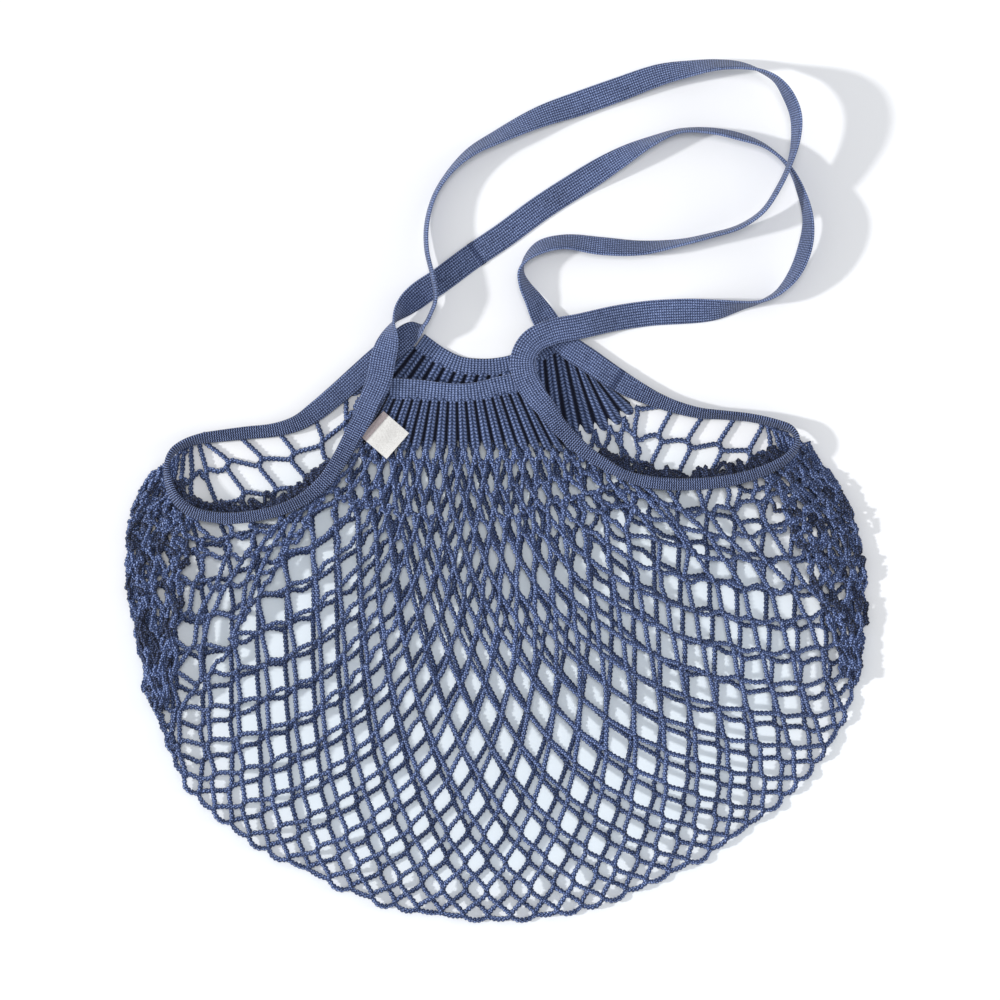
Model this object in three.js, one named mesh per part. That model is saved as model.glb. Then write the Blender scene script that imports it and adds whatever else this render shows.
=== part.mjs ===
// A string shopping bag lying flat: a knotted net body folded at the bottom, a ribbed knit panel and a
// band at each side of the mouth, and one knitted tape that runs round as two handles and two armholes.
// Millimetres, +Z up. The floor is z = 0, and the bag's mouth points to +Y.

import * as THREE from "three";

// Driving dimensions
const bagWidth = 408;
const bagDepth = 289;
const handleReach = 188;
const tapeWidth = 14;
const tapeThickness = 2;
const bandWidth = 11.5;
const bandThickness = 2.4;
const netThickness = 2.4;
const netBar = 5;
const interiorHeight = 5.6;
const foldReach = 42;
const panelDepth = 25;
const ribDepth = 0.8;
const labelSide = 18.7;
const labelThickness = 0.8;
const gap = 0.3;
const seamGap = 0.7;

// Counts
const ribCount = 19;
const pointsPerRib = 3;
const panelRows = 3;
const netRows = 6;
const netColumnsAtPanel = 6;
const handleSteps = 84;
const armholeSteps = 60;
const bandSteps = 14;

// Thickness that the tape gains where it is folded over the net's edge, for each share of width lost
const foldedGain = 0.8;

// A mesh of the net is cut through where each of its sides is longer than this share of a bar's width
const openShare = 0.4;

// Levels that the pieces rest on
const backTop = Math.max(netThickness, bandThickness);
const backSeat = backTop + gap;
const frontUnderside = backTop + interiorHeight;
const frontTop = frontUnderside + Math.max(netThickness, bandThickness);
const frontSeat = frontTop + gap;

// Tape tables. x is a share of the bag's width, y of the depth (armholes) or reach (handles), level is
// 0 on the floor, 1 on the back layer and 2 on the front layer, lift is in tape widths above that,
// roll is in degrees from flat, and width is a share of the tape's width where it is folded over the net.
const leftArmhole = [
  // x, y, level, lift, roll, width
  [-0.098, 0.145, 1.0, 0.04, -94, 1.0],
  [-0.114, 0.133, 1.0, 0.04, -150, 1.0],
  [-0.135, 0.11, 1.0, 0.04, -172, 1.0],
  [-0.16, 0.082, 1.0, 0.03, -183, 0.95],
  [-0.188, 0.048, 1.0, 0.02, -188, 0.9],
  [-0.215, 0.015, 1.0, 0.0, -192, 0.85],
  [-0.241, -0.015, 1.0, 0.0, -193, 0.8],
  [-0.268, -0.04, 1.0, 0.0, -192, 0.65],
  [-0.299, -0.053, 1.0, 0.0, -192, 0.55],
  [-0.339, -0.059, 1.0, 0.0, -194, 0.52],
  [-0.375, -0.065, 1.0, 0.0, -205, 0.5],
  [-0.4, -0.07, 1.06, 0.0, -228, 0.5],
  [-0.421, -0.08, 1.19, 0.0, -240, 0.5],
  [-0.436, -0.095, 1.34, 0.0, -252, 0.5],
  [-0.444, -0.12, 1.47, 0.0, -270, 0.5],
  [-0.441, -0.154, 1.71, 0.0, -298, 0.5],
  [-0.429, -0.187, 1.94, 0.0, -314, 0.5],
  [-0.405, -0.211, 2.0, 0.0, -320, 0.5],
  [-0.366, -0.221, 2.0, 0.0, -324, 0.5],
  [-0.326, -0.217, 2.0, 0.0, -324, 0.5],
  [-0.288, -0.204, 2.0, 0.0, -326, 0.5],
  [-0.258, -0.183, 2.0, 0.0, -334, 0.52],
  [-0.231, -0.15, 2.0, 0.0, -345, 0.58],
  [-0.211, -0.11, 2.0, 0.0, -355, 0.64],
  [-0.195, -0.069, 2.0, 0.0, -365, 0.7],
  [-0.181, -0.032, 2.0, 0.0, -372, 0.8],
  [-0.171, 0.0, 2.0, 0.0, -375, 0.9],
];
const rightArmhole = [
  // x, y, level, lift, roll, width
  [0.051, 0.015, 2.0, 0.0, 6, 0.95],
  [0.067, -0.013, 2.0, 0.0, 6, 0.78],
  [0.084, -0.046, 2.0, 0.0, 6, 0.68],
  [0.103, -0.074, 2.0, 0.0, 8, 0.6],
  [0.122, -0.097, 2.0, 0.0, 14, 0.55],
  [0.145, -0.118, 2.0, 0.0, 28, 0.5],
  [0.169, -0.137, 2.0, 0.0, 48, 0.5],
  [0.197, -0.15, 2.0, 0.0, 30, 0.5],
  [0.227, -0.156, 2.0, 0.0, 18, 0.5],
  [0.274, -0.156, 2.0, 0.0, 25, 0.5],
  [0.323, -0.147, 2.0, 0.0, 34, 0.5],
  [0.359, -0.131, 2.02, 0.0, 44, 0.5],
  [0.386, -0.112, 1.93, 0.0, 54, 0.5],
  [0.402, -0.089, 1.62, 0.0, 70, 0.5],
  [0.405, -0.069, 1.4, 0.0, 90, 0.5],
  [0.396, -0.051, 1.24, 0.0, 108, 0.5],
  [0.374, -0.04, 1.11, 0.0, 118, 0.5],
  [0.342, -0.03, 1.03, 0.0, 118, 0.5],
  [0.307, -0.025, 1.0, 0.0, 124, 0.5],
  [0.274, -0.021, 1.0, 0.0, 138, 0.5],
  [0.245, -0.011, 1.0, 0.0, 158, 0.52],
  [0.219, 0.002, 1.0, 0.0, 170, 0.6],
  [0.193, 0.019, 1.0, 0.0, 174, 0.75],
  [0.166, 0.04, 1.0, 0.0, 176, 0.88],
  [0.126, 0.078, 1.0, 0.02, 180, 0.95],
  [0.086, 0.118, 1.0, 0.04, 180, 0.95],
];
const frontHandle = [
  // x, y, level, lift, roll, width
  [-0.171, 0.0, 2.0, 0.0, -15, 0.9],
  [-0.158, 0.064, 2.0, 0.01, -8, 1.0],
  [-0.152, 0.127, 2.0, 0.01, -5, 1.0],
  [-0.145, 0.179, 1.85, 0.0, -35, 1.0],
  [-0.138, 0.231, 1.29, 0.0, -90, 1.0],
  [-0.123, 0.275, 0.4, 0.03, -140, 1.0],
  [-0.102, 0.315, 0.0, 0.01, -172, 1.0],
  [-0.076, 0.352, 0.0, 0.0, -180, 1.0],
  [-0.036, 0.416, 0.0, 0.0, -180, 1.0],
  [0.011, 0.485, 0.0, 0.0, -180, 1.0],
  [0.059, 0.561, 0.0, 0.0, -180, 1.0],
  [0.113, 0.636, 0.0, 0.0, -185, 1.0],
  [0.166, 0.706, 0.0, 0.0, -215, 1.0],
  [0.207, 0.752, 0.0, 0.0, -245, 1.0],
  [0.247, 0.783, 0.0, 0.0, -260, 1.0],
  [0.288, 0.783, 0.0, 0.0, -256, 1.0],
  [0.328, 0.765, 0.0, 0.0, -252, 1.0],
  [0.363, 0.735, 0.0, 0.0, -262, 1.0],
  [0.393, 0.678, 0.0, 0.0, -270, 1.0],
  [0.409, 0.608, 0.0, 0.21, -282, 1.0],
  [0.419, 0.519, 0.0, 0.43, -290, 1.0],
  [0.415, 0.436, 0.0, 0.43, -300, 1.0],
  [0.401, 0.36, 0.0, 0.25, -295, 1.0],
  [0.379, 0.304, 0.0, 0.06, -280, 1.0],
  [0.355, 0.277, 0.0, 0.0, -270, 1.0],
  [0.326, 0.264, 0.0, 0.0, -250, 1.0],
  [0.291, 0.252, 0.0, 0.0, -215, 1.0],
  [0.25, 0.248, 0.0, 0.0, -188, 1.0],
  [0.207, 0.242, 0.0, 0.0, -180, 1.0],
  [0.16, 0.226, 0.85, 0.0, -180, 1.0],
  [0.113, 0.202, 1.5, 0.0, -180, 1.0],
  [0.075, 0.184, 1.78, 0.0, -180, 1.0],
  [0.048, 0.154, 1.94, 0.0, -178, 1.0],
  [0.036, 0.107, 2.0, 0.0, -176, 1.0],
  [0.038, 0.053, 2.0, 0.01, -174, 1.0],
  [0.051, 0.0, 2.0, 0.0, -174, 0.95],
];
const backHandle = [
  // x, y, level, lift, roll, width
  [0.086, 0.0, 1.0, 0.04, 0, 0.95],
  [0.067, 0.054, 0.85, 0.02, 8, 1.0],
  [0.051, 0.112, 0.2, 0.01, 42, 1.0],
  [0.038, 0.158, 0.0, 0.0, 64, 1.0],
  [0.033, 0.195, 0.0, 0.0, 80, 1.0],
  [0.04, 0.231, 0.0, 0.0, 100, 1.0],
  [0.06, 0.265, 0.0, 0.0, 122, 1.0],
  [0.092, 0.279, 0.0, 0.0, 126, 1.0],
  [0.14, 0.266, 0.0, 0.0, 136, 1.0],
  [0.193, 0.259, 0.0, 0.0, 126, 1.0],
  [0.247, 0.273, 0.0, 0.0, 106, 1.0],
  [0.288, 0.292, 0.0, 0.11, 100, 1.0],
  [0.328, 0.317, 0.0, 0.29, 98, 1.0],
  [0.358, 0.36, 0.0, 0.57, 96, 1.0],
  [0.378, 0.423, 0.0, 0.86, 96, 1.0],
  [0.393, 0.492, 0.0, 1.06, 96, 1.0],
  [0.401, 0.562, 0.0, 1.21, 106, 1.0],
  [0.401, 0.631, 0.0, 1.29, 112, 1.0],
  [0.39, 0.691, 0.0, 1.29, 110, 1.0],
  [0.375, 0.734, 0.0, 1.14, 98, 1.0],
  [0.355, 0.759, 0.0, 0.93, 88, 1.0],
  [0.328, 0.775, 0.0, 0.68, 72, 1.0],
  [0.295, 0.777, 0.0, 0.43, 62, 1.0],
  [0.261, 0.767, 0.0, 0.21, 48, 1.0],
  [0.22, 0.749, 0.0, 0.07, 28, 1.0],
  [0.166, 0.707, 0.0, 0.0, 14, 1.0],
  [0.113, 0.665, 0.0, 0.0, 12, 1.0],
  [0.059, 0.623, 0.0, 0.0, 30, 1.0],
  [0.005, 0.566, 0.0, 0.0, 54, 1.0],
  [-0.036, 0.515, 0.0, 0.0, 68, 1.0],
  [-0.065, 0.452, 0.0, 0.0, 80, 1.0],
  [-0.084, 0.384, 0.0, 0.04, 84, 1.0],
  [-0.094, 0.301, 0.0, 0.11, 84, 1.0],
  [-0.094, 0.227, 0.0, 0.19, 85, 1.0],
  [-0.086, 0.147, 0.0, 0.23, 86, 1.0],
  [-0.082, 0.081, 0.0, 0.24, 86, 1.0],
  [-0.088, 0.039, 0.9, 0.06, 86, 1.0],
  [-0.098, 0.0, 1.0, 0.04, 86, 1.0],
];

// Bands at the mouth: x and y of the middle line as shares of width and depth, and a share of bandWidth
const frontBand = [
  // x, y, width
  [-0.144, 0.026, 1.0],
  [-0.103, 0.023, 0.97],
  [-0.076, 0.019, 0.9],
  [-0.049, 0.017, 0.88],
  [-0.022, 0.021, 0.88],
  [0.005, 0.03, 0.93],
  [0.029, 0.037, 0.95],
];
const backBand = [
  // x, y, width
  [-0.104, 0.116, 0.85],
  [-0.076, 0.088, 0.85],
  [-0.049, 0.071, 0.82],
  [-0.022, 0.067, 0.8],
  [0.005, 0.069, 0.82],
  [0.032, 0.078, 0.85],
  [0.059, 0.095, 0.85],
  [0.078, 0.112, 0.85],
];

// Lower edges of the ribbed panels: x as a share of the width, y as a share of the panel's depth.
// The corners are where a panel reaches under the tape beyond its band, as shares of width and depth.
const frontPanelEdge = [
  [-0.198, -1.0],
  [-0.12, -1.0],
  [-0.04, -1.0],
  [0.04, -1.0],
  [0.11, -1.06],
];
const frontPanelCorners = [
  [-0.155, -0.002],
  [0.058, 0.0],
];
const backPanelEdge = [
  [-0.202, 0.3],
  [-0.15, -0.25],
  [-0.08, -0.5],
  [0.02, -0.58],
  [0.1, -0.66],
  [0.155, -0.5],
  [0.188, -0.1],
];
const backPanelCorners = [
  [-0.135, 0.09],
  [0.14, 0.045],
];

// Outline of the folded net, as shares of width and depth
const foldOutline = [
  [-0.456, -0.129],
  [-0.489, -0.187],
  [-0.501, -0.3],
  [-0.494, -0.405],
  [-0.479, -0.51],
  [-0.456, -0.63],
  [-0.421, -0.738],
  [-0.346, -0.835],
  [-0.251, -0.91],
  [-0.14, -0.972],
  [-0.026, -0.997],
  [0.08, -0.988],
  [0.18, -0.945],
  [0.295, -0.866],
  [0.39, -0.763],
  [0.466, -0.632],
  [0.498, -0.453],
  [0.497, -0.31],
  [0.474, -0.187],
  [0.416, -0.08],
];

// The label's centre, as shares of width and depth, and its turn in degrees
const labelCentre = [-0.15, -0.063];
const labelTurn = 49;

// Colours from dyed cotton
const tapeBlue = 0x5a6ea5;
const netBlue = 0x4a5788;
const labelCream = 0xe9e7e2;
const tapeRoughness = 0.85;
const netRoughness = 0.95;
const labelRoughness = 0.8;

const radians = THREE.MathUtils.degToRad;
const lerp = THREE.MathUtils.lerp;
const inBag = ([x, y]) => [x * bagWidth, y * bagDepth];
const inPanel = ([x, y]) => [x * bagWidth, y * panelDepth];

// A mesh from vertices and triangles, with its faces turned outwards
function solid(name, vertices, triangles, colour, roughness) {
  let volume = 0;
  for (const [a, b, c] of triangles) {
    volume += vertices[a].dot(vertices[b].clone().cross(vertices[c])) / 6;
  }
  const turned = volume > 0 ? triangles : triangles.map(([a, b, c]) => [a, c, b]);
  const geometry = new THREE.BufferGeometry();
  const numbers = vertices.flatMap((v) => [v.x, v.y, v.z]);
  geometry.setAttribute("position", new THREE.Float32BufferAttribute(numbers, 3));
  geometry.setIndex(turned.flat());
  geometry.computeVertexNormals();
  const material = new THREE.MeshStandardMaterial({ color: colour, roughness, metalness: 0 });
  const mesh = new THREE.Mesh(geometry, material);
  mesh.name = name;
  return mesh;
}

// Joins rings of points one after another. Each end is closed row by row, between the first half of its
// ring and the second.
function loft(name, rings, colour, roughness) {
  const size = rings[0].length;
  const triangles = [];
  for (let r = 0; r + 1 < rings.length; r++) {
    for (let k = 0; k < size; k++) {
      const a = r * size + k;
      const b = r * size + ((k + 1) % size);
      triangles.push([a, b, b + size], [a, b + size, a + size]);
    }
  }
  const last = (rings.length - 1) * size;
  for (let k = 0; k + 1 < size / 2; k++) {
    const [a, b, c, d] = [k, k + 1, size - 2 - k, size - 1 - k];
    triangles.push([a, c, b], [a, d, c], [last + a, last + b, last + c], [last + a, last + c, last + d]);
  }
  return solid(name, rings.flat(), triangles, colour, roughness);
}

// Height of the tape's lower edge
function restHeight(level, lift) {
  const seats = [0, backSeat, frontSeat];
  const below = Math.min(Math.floor(level), 1);
  return lerp(seats[below], seats[below + 1], level - below) + lift * tapeWidth;
}

// The tape's stations: where each lies, how it is rolled and how wide it is
function stations(table, place) {
  return table.map(([x, y, level, lift, roll, width], k) => {
    const [px, py] = place(x, y, k / (table.length - 1));
    return { at: new THREE.Vector3(px, py, restHeight(level, lift)), roll, width };
  });
}

const armholePlace = (x, y) => inBag([x, y]);

function handlePlace(from, to) {
  const start = from[1] * bagDepth;
  const end = to[1] * bagDepth;
  return (x, y, along) => [x * bagWidth, lerp(start, end, along) + y * handleReach];
}

// The whole tape is one closed loop, and each length of it is swept between two of its stations
function tape(name, loop, first, list, steps) {
  const rolls = list.map((s) => new THREE.Vector3(s.roll, s.width, 0));
  const turns = new THREE.CatmullRomCurve3(rolls, false, "catmullrom");
  const count = loop.points.length;
  const span = list.length - 1;
  const ease = [0, span - 1].map((k) => gap / 2 / list[k].at.distanceTo(list[k + 1].at));
  const rings = [];
  for (let k = 0; k <= steps; k++) {
    const along = lerp(ease[0], span - ease[1], k / steps);
    const t = ((first + along) / count) % 1;
    const centre = loop.getPoint(t);
    const heading = loop.getTangent(t).setZ(0).normalize();
    const { x: roll, y: share } = turns.getPoint(along / span);
    const half = (share * tapeWidth) / 2;
    const halfThick = (tapeThickness * (1 + (1 - share) * foldedGain)) / 2;
    const lean = radians(roll);
    const side = new THREE.Vector3(-heading.y, heading.x, 0);
    const across = side.clone().multiplyScalar(Math.cos(lean)).setZ(Math.sin(lean));
    const face = side.clone().multiplyScalar(-Math.sin(lean)).setZ(Math.cos(lean));
    centre.z = Math.max(centre.z, 0) + half * Math.abs(across.z) + halfThick * Math.abs(face.z);
    const corner = (a, b) =>
      centre.clone().addScaledVector(across, a * half).addScaledVector(face, b * halfThick);
    rings.push([corner(-1, -1), corner(1, -1), corner(1, 1), corner(-1, 1)]);
  }
  return loft(name, rings, tapeBlue, tapeRoughness);
}

// A band's middle line and half width at a share of its length
function bandLine(table) {
  const points = table.map(([x, y, width]) => {
    const [px, py] = inBag([x, y]);
    return new THREE.Vector3(px, py, (width * bandWidth) / 2);
  });
  const curve = new THREE.CatmullRomCurve3(points, false, "centripetal");
  return (t) => {
    const at = curve.getPoint(t);
    const heading = curve.getTangent(t).setZ(0).normalize();
    const side = new THREE.Vector3(-heading.y, heading.x, 0);
    return { at: new THREE.Vector3(at.x, at.y, 0), side, half: at.z };
  };
}

function band(name, line, underside) {
  const rings = [];
  for (let k = 0; k <= bandSteps; k++) {
    const { at, side, half } = line(k / bandSteps);
    const corner = (a, z) => at.clone().addScaledVector(side, a * half).setZ(z);
    const top = underside + bandThickness;
    rings.push([corner(-1, underside), corner(1, underside), corner(1, top), corner(-1, top)]);
  }
  return loft(name, rings, tapeBlue, tapeRoughness);
}

// A smooth flat line through points
function flatLine(points) {
  const path = points.map(([x, y]) => new THREE.Vector3(x, y, 0));
  return new THREE.CatmullRomCurve3(path, false, "centripetal");
}

// Upper edge of a panel: just clear of the band, and on to a corner under the tape at each end
function panelTop(line, corners) {
  const points = [inBag(corners[0])];
  for (let k = 0; k <= bandSteps; k++) {
    const { at, side, half } = line(k / bandSteps);
    at.addScaledVector(side, -(half + seamGap));
    points.push([at.x, at.y]);
  }
  points.push(inBag(corners[1]));
  return flatLine(points);
}

// A knitted panel of ribs that fan out from the band to the net
function ribbedPanel(name, upperEdge, lowerEdge, underside) {
  const rings = [];
  const columns = ribCount * pointsPerRib;
  for (let c = 0; c <= columns; c++) {
    const p = c / columns;
    const upper = upperEdge.getPointAt(p);
    const lower = lowerEdge.getPointAt(p);
    const along = lowerEdge.getTangentAt(p);
    lower.add(new THREE.Vector3(-along.y, along.x, 0).multiplyScalar(gap));
    const valley = c % pointsPerRib === 0 ? ribDepth : 0;
    const ring = [];
    for (let r = 0; r <= panelRows; r++) {
      ring.push(upper.clone().lerp(lower, r / panelRows).setZ(underside));
    }
    for (let r = panelRows; r >= 0; r--) {
      ring.push(upper.clone().lerp(lower, r / panelRows).setZ(underside + netThickness - valley));
    }
    rings.push(ring);
  }
  return loft(name, rings, netBlue, netRoughness);
}

// Moves each edge of a convex outline inwards by half a bar
function inset(corners) {
  const count = corners.length;
  let area = 0;
  for (let k = 0; k < count; k++) {
    area += corners[k].cross(corners[(k + 1) % count]) / 2;
  }
  const inwards = Math.sign(area) * (netBar / 2);
  const edges = corners.map((corner, k) => {
    const along = corners[(k + 1) % count].clone().sub(corner).normalize();
    const moved = new THREE.Vector2(-along.y, along.x).multiplyScalar(inwards).add(corner);
    return { moved, along };
  });
  return edges.map((edge, k) => {
    const before = edges[(k + count - 1) % count];
    const between = edge.moved.clone().sub(before.moved);
    const reach = between.cross(edge.along) / before.along.cross(edge.along);
    return before.moved.clone().addScaledVector(before.along, reach);
  });
}

// True if the hole still turns the same way at every corner, so that it is open
function isOpen(before, after) {
  const turn = (list, k) => {
    const [a, b, c] = [0, 1, 2].map((n) => list[(k + n) % list.length]);
    return b.clone().sub(a).cross(c.clone().sub(b));
  };
  return before.every((corner, k) => {
    const along = before[(k + 1) % before.length].clone().sub(corner);
    const now = after[(k + 1) % after.length].clone().sub(after[k]);
    return along.dot(now) > openShare * netBar * along.length() && turn(before, k) * turn(after, k) > 0;
  });
}

// One layer of the net, between its upper edge and the fold, with its meshes cut through
function netLayer(name, upperEdge, fold, heightAt) {
  const widest = netColumnsAtPanel + netRows;
  const share = (j) => (j / widest + 1) / 2;
  const ruling = (s, t) => {
    const top = upperEdge(s);
    const bottom = fold.getPointAt(s);
    const at = new THREE.Vector2(lerp(top.x, bottom.x, t), lerp(top.y, bottom.y, t));
    at.toFold = (1 - t) * Math.hypot(top.x - bottom.x, top.y - bottom.y);
    return at;
  };
  const firstRow = (j) => Math.max(0, Math.abs(j) - netColumnsAtPanel);
  const knot = (i, j) => {
    const first = firstRow(j);
    return ruling(share(j), (i - first) / (netRows - first));
  };
  const holes = [];
  for (let i = 1; i <= netRows; i++) {
    const reach = netColumnsAtPanel + i - 1;
    for (let j = -reach; j <= reach; j++) {
      if ((i + j) % 2 === 0) continue;
      const corners = [knot(i - 1, j), knot(i, j - 1)];
      if (i < netRows) corners.push(knot(i + 1, j));
      corners.push(knot(i, j + 1));
      const inner = inset(corners);
      if (!isOpen(corners, inner)) continue;
      inner.forEach((point, k) => {
        point.toFold = corners[k].toFold;
      });
      holes.push(inner);
    }
  }
  const outline = [];
  const edgeSteps = 4 * widest;
  for (let k = 0; k < edgeSteps; k++) outline.push(ruling(k / edgeSteps, 0));
  for (let k = edgeSteps; k > 0; k--) outline.push(ruling(k / edgeSteps, 1));
  const faces = THREE.ShapeUtils.triangulateShape(outline, holes);
  const flat = [outline, ...holes].flat();
  const count = flat.length;
  const lower = flat.map((p) => new THREE.Vector3(p.x, p.y, heightAt(p)));
  const upper = lower.map((p) => p.clone().setZ(p.z + netThickness));
  const triangles = faces.flatMap(([a, b, c]) => [
    [a, c, b],
    [a + count, b + count, c + count],
  ]);
  let first = 0;
  for (const loop of [outline, ...holes]) {
    const turnsLeft = THREE.ShapeUtils.area(loop) > 0;
    const isOutline = loop === outline;
    for (let k = 0; k < loop.length; k++) {
      let a = first + k;
      let b = first + ((k + 1) % loop.length);
      if (turnsLeft !== isOutline) [a, b] = [b, a];
      triangles.push([a, b, b + count], [a, b + count, a + count]);
    }
    first += loop.length;
  }
  return solid(name, [...lower, ...upper], triangles, netBlue, netRoughness);
}

// Armhole side of a net layer from the far end to the panel, then the panel edge, then the other armhole
function upperEdgeOf(leftSide, panelEdge, rightSide) {
  const left = flatLine(leftSide);
  const middle = flatLine(panelEdge);
  const right = flatLine(rightSide);
  const onSide = netRows / (2 * (netColumnsAtPanel + netRows));
  return (s) => {
    if (s < onSide) return left.getPointAt(s / onSide);
    if (s > 1 - onSide) return right.getPointAt((s - 1 + onSide) / onSide);
    return middle.getPointAt((s - onSide) / (1 - 2 * onSide));
  };
}

const leftList = stations(leftArmhole, armholePlace);
const rightList = stations(rightArmhole, armholePlace);
const frontList = stations(frontHandle, handlePlace(leftArmhole.at(-1), rightArmhole[0]));
const backList = stations(backHandle, handlePlace(rightArmhole.at(-1), leftArmhole[0]));
const lengths = [leftList, frontList, rightList, backList];
const loopPoints = lengths.flatMap((list) => list.slice(0, -1).map((s) => s.at));
const loop = new THREE.CatmullRomCurve3(loopPoints, true, "centripetal");
const firstOf = lengths.map((_, n) => lengths.slice(0, n).reduce((sum, l) => sum + l.length - 1, 0));

const frontLine = bandLine(frontBand);
const backLine = bandLine(backBand);
const fold = flatLine(foldOutline.map(inBag));
const frontPanel = frontPanelEdge.map(inPanel);
const backPanel = backPanelEdge.map(inPanel);

// Rows of the armhole tables that lie over the net's upper edge
const leftFrontRows = [16, 23];
const leftBackRows = [6, 12];
const rightFrontRows = [5, 13];
const rightBackRows = [17, 21];
const plan = (list, rows) => list.slice(...rows).map((s) => [s.at.x, s.at.y]);
const leftEnd = inBag(foldOutline[0]);
const rightEnd = inBag(foldOutline.at(-1));

const frontUpper = upperEdgeOf(
  [leftEnd, ...plan(leftList, leftFrontRows), frontPanel[0]],
  frontPanel,
  [frontPanel.at(-1), ...plan(rightList, rightFrontRows), rightEnd],
);
const backUpper = upperEdgeOf(
  [leftEnd, ...plan(leftList, leftBackRows).reverse(), backPanel[0]],
  backPanel,
  [backPanel.at(-1), ...plan(rightList, rightBackRows).reverse(), rightEnd],
);
const frontHeight = (p) => {
  const rise = THREE.MathUtils.smoothstep(p.toFold, 0, foldReach);
  return lerp(backSeat, frontUnderside, rise);
};

// The woven label, a turned square that lies on the front panel
function label() {
  const [x, y] = inBag(labelCentre);
  const shape = new THREE.BoxGeometry(labelSide, labelSide, labelThickness);
  const cloth = new THREE.MeshStandardMaterial({
    color: labelCream,
    roughness: labelRoughness,
    metalness: 0,
  });
  const mesh = new THREE.Mesh(shape, cloth);
  mesh.name = "label";
  mesh.rotation.z = radians(labelTurn);
  mesh.position.set(x, y, frontSeat + labelThickness / 2);
  return mesh;
}

const bag = new THREE.Group();
bag.add(
  netLayer("net_front", frontUpper, fold, frontHeight),
  netLayer("net_back", backUpper, fold, () => 0),
  ribbedPanel("front_gather", panelTop(frontLine, frontPanelCorners), flatLine(frontPanel), frontUnderside),
  ribbedPanel("back_gather", panelTop(backLine, backPanelCorners), flatLine(backPanel), 0),
  band("front_band", frontLine, frontUnderside),
  band("back_band", backLine, 0),
  tape("left_armhole_binding", loop, firstOf[0], leftList, armholeSteps),
  tape("front_handle", loop, firstOf[1], frontList, handleSteps),
  tape("right_armhole_binding", loop, firstOf[2], rightList, armholeSteps),
  tape("back_handle", loop, firstOf[3], backList, handleSteps),
  label(),
);

// The origin is under the middle of the bag
const box = new THREE.Box3().setFromObject(bag);
const middle = box.getCenter(new THREE.Vector3());
bag.position.set(-middle.x, -middle.y, -box.min.z);

export default bag;
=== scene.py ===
"""A string shopping bag lying flat: a knotted net body folded at the bottom, a ribbed knit panel and a
band at each side of the mouth, and one knitted tape that runs round as two handles and two armholes.
Metres, in the frame's own axes: the floor is z = 0 and the bag's mouth points to +Y."""

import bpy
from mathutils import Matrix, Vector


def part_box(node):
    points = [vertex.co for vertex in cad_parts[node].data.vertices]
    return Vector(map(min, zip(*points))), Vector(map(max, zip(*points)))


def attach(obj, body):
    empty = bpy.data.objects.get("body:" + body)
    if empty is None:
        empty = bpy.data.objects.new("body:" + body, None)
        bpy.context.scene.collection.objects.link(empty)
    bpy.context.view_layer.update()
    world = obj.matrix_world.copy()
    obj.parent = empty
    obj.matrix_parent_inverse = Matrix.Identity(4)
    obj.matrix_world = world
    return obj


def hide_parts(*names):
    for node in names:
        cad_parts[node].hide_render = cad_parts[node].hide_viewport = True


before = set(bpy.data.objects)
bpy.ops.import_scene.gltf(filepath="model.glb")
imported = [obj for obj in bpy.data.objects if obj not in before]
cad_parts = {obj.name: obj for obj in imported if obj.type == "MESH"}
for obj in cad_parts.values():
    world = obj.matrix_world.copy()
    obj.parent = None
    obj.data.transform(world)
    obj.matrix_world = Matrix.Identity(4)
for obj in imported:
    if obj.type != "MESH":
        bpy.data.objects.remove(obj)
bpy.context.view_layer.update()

import math

import bpy
import numpy as np
from mathutils import Vector

MM = 0.001

# Sizes of the bag, as in the solids
BAG_WIDTH = 408 * MM
BAG_DEPTH = 289 * MM
HANDLE_REACH = 188 * MM
TAPE_WIDTH = 14 * MM
TAPE_THICKNESS = 2 * MM
BAND_WIDTH = 11.5 * MM
BAND_THICKNESS = 2.4 * MM
NET_THICKNESS = 2.4 * MM
INTERIOR_HEIGHT = 5.6 * MM
FOLD_REACH = 42 * MM
PANEL_DEPTH = 25 * MM
LABEL_SIDE = 18.7 * MM
GAP = 0.3 * MM
FLOOR_CLEARANCE = 0.02 * MM

# How much thicker the tape is where it is folded over the net, by the share of its width that is lost
FOLDED_GAIN = 0.8

# Levels that the pieces rest on
BACK_SEAT = NET_THICKNESS + GAP
FRONT_UNDERSIDE = NET_THICKNESS + INTERIOR_HEIGHT
FRONT_SEAT = FRONT_UNDERSIDE + NET_THICKNESS + GAP

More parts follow.
